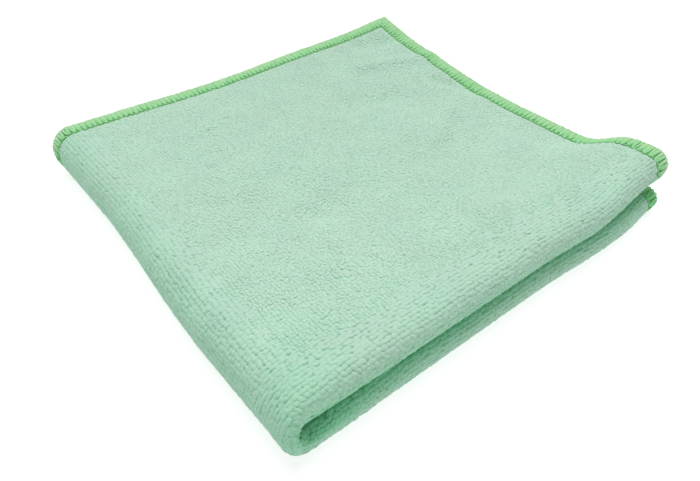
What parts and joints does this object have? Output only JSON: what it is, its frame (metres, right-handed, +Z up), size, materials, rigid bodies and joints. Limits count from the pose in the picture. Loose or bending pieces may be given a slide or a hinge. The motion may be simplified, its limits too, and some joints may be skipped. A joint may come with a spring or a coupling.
{
  "type": "folded microfibre cleaning cloth",
  "caption": "Square terry microfibre cleaning cloth with an overlocked hem, folded in half and in half again and lying flat.",
  "frame": {"origin": "on the surface that the cloth lies on, under the middle of its bounding box", "axes": "+Z up; +X from the second fold to the hems across from it; +Y from the first fold, the one with two rolls, to the hems across from it"},
  "size_m": [0.1599, 0.1519, 0.0214],
  "materials": {
    "terry": "matte mint green terry knit of short uncut loops",
    "hem_thread": "soft yellow-green textured thread of the overlocked hem, with a slight sheen"
  },
  "bodies": {
    "root": {"cloth": "terry"}
  },
  "joints": []
}
